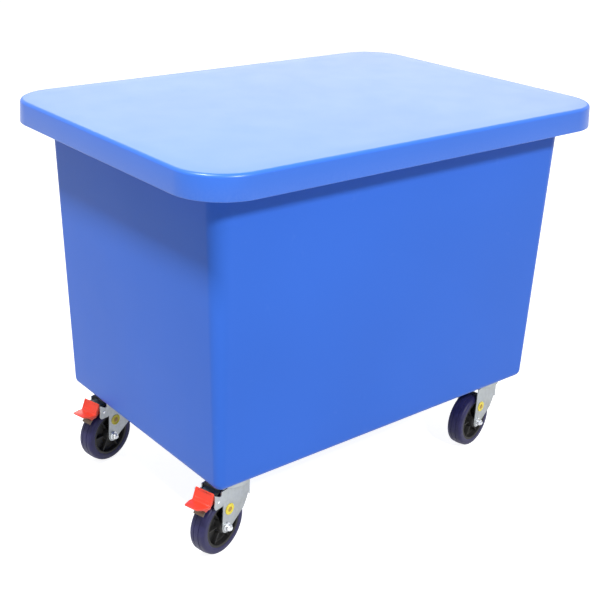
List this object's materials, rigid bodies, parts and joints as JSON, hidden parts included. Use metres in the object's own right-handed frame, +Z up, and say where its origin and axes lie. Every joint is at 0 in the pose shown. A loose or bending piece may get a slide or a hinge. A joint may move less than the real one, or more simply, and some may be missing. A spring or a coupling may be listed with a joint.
{
  "type": "tub trolley",
  "caption": "Rectangular plastic tub with tapered walls and a lift-off lid, rolling on swivel castors with foot brakes at one end.",
  "frame": {"origin": "on the floor, below the middle of the lid", "axes": "+X along the tub's length, away from the braked castors; +Y from the front face to the rear face; +Z up"},
  "size_m": [1.015, 0.728, 0.807],
  "materials": {
    "tub_plastic": "satin moulded polyethylene, blue",
    "lid_plastic": "satin moulded polyethylene, blue",
    "zinc_plate": "bright zinc-plated pressed steel",
    "pad_rubber": "black rubber",
    "bearing_steel": "polished steel",
    "badge_yellow": "gloss yellow with a darker centre",
    "bearing_plastic": "natural nylon",
    "wheel_black": "black moulded nylon",
    "tyre_rubber": "dark blue elastic rubber",
    "pedal_red": "red moulded plastic",
    "lever_black": "dark blackened steel",
    "shoe_gold": "yellow-passivated steel"
  },
  "bodies": {
    "tub": {"tub": "tub_plastic", "kingpin_washers": "zinc_plate", "kingpin_nuts": "zinc_plate", "spacer_pad_left_front": "pad_rubber", "swivel_cap_left_front": "zinc_plate", "kingpin_left_front": "zinc_plate", "spacer_pad_left_rear": "pad_rubber", "swivel_cap_left_rear": "zinc_plate", "kingpin_left_rear": "zinc_plate", "spacer_pad_right_front": "pad_rubber", "swivel_cap_right_front": "zinc_plate", "kingpin_right_front": "zinc_plate", "spacer_pad_right_rear": "pad_rubber", "swivel_cap_right_rear": "zinc_plate", "kingpin_right_rear": "zinc_plate"},
    "lid": {"lid": "lid_plastic"},
    "castor_left_front": {"swivel_balls_left_front": "bearing_steel", "fork_left_front": "zinc_plate", "fork_badges_left_front": "badge_yellow", "axle_bolt_left_front": "zinc_plate", "axle_sleeve_left_front": "zinc_plate", "brake_pin_left_front": "zinc_plate", "brake_spring_left_front": "bearing_steel"},
    "wheel_left_front": {"wheel_bearing_left_front": "bearing_plastic", "wheel_centre_left_front": "wheel_black", "tyre_left_front": "tyre_rubber"},
    "brake_left_front": {"brake_pedal_left_front": "pedal_red", "brake_lever_left_front": "lever_black", "brake_shoe_left_front": "shoe_gold"},
    "castor_left_rear": {"swivel_balls_left_rear": "bearing_steel", "fork_left_rear": "zinc_plate", "fork_badges_left_rear": "badge_yellow", "axle_bolt_left_rear": "zinc_plate", "axle_sleeve_left_rear": "zinc_plate", "brake_pin_left_rear": "zinc_plate", "brake_spring_left_rear": "bearing_steel"},
    "wheel_left_rear": {"wheel_bearing_left_rear": "bearing_plastic", "wheel_centre_left_rear": "wheel_black", "tyre_left_rear": "tyre_rubber"},
    "brake_left_rear": {"brake_pedal_left_rear": "pedal_red", "brake_lever_left_rear": "lever_black", "brake_shoe_left_rear": "shoe_gold"},
    "castor_right_front": {"swivel_balls_right_front": "bearing_steel", "fork_right_front": "zinc_plate", "fork_badges_right_front": "badge_yellow", "axle_bolt_right_front": "zinc_plate", "axle_sleeve_right_front": "zinc_plate"},
    "wheel_right_front": {"wheel_bearing_right_front": "bearing_plastic", "wheel_centre_right_front": "wheel_black", "tyre_right_front": "tyre_rubber"},
    "castor_right_rear": {"swivel_balls_right_rear": "bearing_steel", "fork_right_rear": "zinc_plate", "fork_badges_right_rear": "badge_yellow", "axle_bolt_right_rear": "zinc_plate", "axle_sleeve_right_rear": "zinc_plate"},
    "wheel_right_rear": {"wheel_bearing_right_rear": "bearing_plastic", "wheel_centre_right_rear": "wheel_black", "tyre_right_rear": "tyre_rubber"}
  },
  "joints": [
    {"name": "lid_lift", "type": "slide", "parent": "tub", "child": "lid", "axis": [0, 0, 1], "range_m": [0, 0.3]},
    {"name": "swivel_left_front", "type": "hinge", "parent": "tub", "child": "castor_left_front", "pos_m": [-0.356, -0.217, 0.15], "axis": [0, 0, 1], "continuous": true},
    {"name": "roll_left_front", "type": "hinge", "parent": "castor_left_front", "child": "wheel_left_front", "pos_m": [-0.39077, -0.22632, 0.0625], "axis": [0.2588, -0.9659, 0], "continuous": true},
    {"name": "brake_left_front", "type": "hinge", "parent": "castor_left_front", "child": "brake_left_front", "pos_m": [-0.41396, -0.23253, 0.13], "axis": [0.2588, -0.9659, 0], "range_deg": [0, 8]},
    {"name": "swivel_left_rear", "type": "hinge", "parent": "tub", "child": "castor_left_rear", "pos_m": [-0.356, 0.217, 0.15], "axis": [0, 0, 1], "continuous": true},
    {"name": "roll_left_rear", "type": "hinge", "parent": "castor_left_rear", "child": "wheel_left_rear", "pos_m": [-0.39108, 0.2089, 0.0625], "axis": [0.225, -0.9744, 0], "continuous": true},
    {"name": "brake_left_rear", "type": "hinge", "parent": "castor_left_rear", "child": "brake_left_rear", "pos_m": [-0.41446, 0.2035, 0.13], "axis": [0.225, -0.9744, 0], "range_deg": [0, 8]},
    {"name": "swivel_right_front", "type": "hinge", "parent": "tub", "child": "castor_right_front", "pos_m": [0.356, -0.217, 0.15], "axis": [0, 0, 1], "continuous": true},
    {"name": "roll_right_front", "type": "hinge", "parent": "castor_right_front", "child": "wheel_right_front", "pos_m": [0.32066, -0.22387, 0.0625], "axis": [0.1908, -0.9816, 0], "continuous": true},
    {"name": "swivel_right_rear", "type": "hinge", "parent": "tub", "child": "castor_right_rear", "pos_m": [0.356, 0.217, 0.15], "axis": [0, 0, 1], "continuous": true},
    {"name": "roll_right_rear", "type": "hinge", "parent": "castor_right_rear", "child": "wheel_right_rear", "pos_m": [0.32035, 0.21199, 0.0625], "axis": [0.1392, -0.9903, 0], "continuous": true}
  ]
}
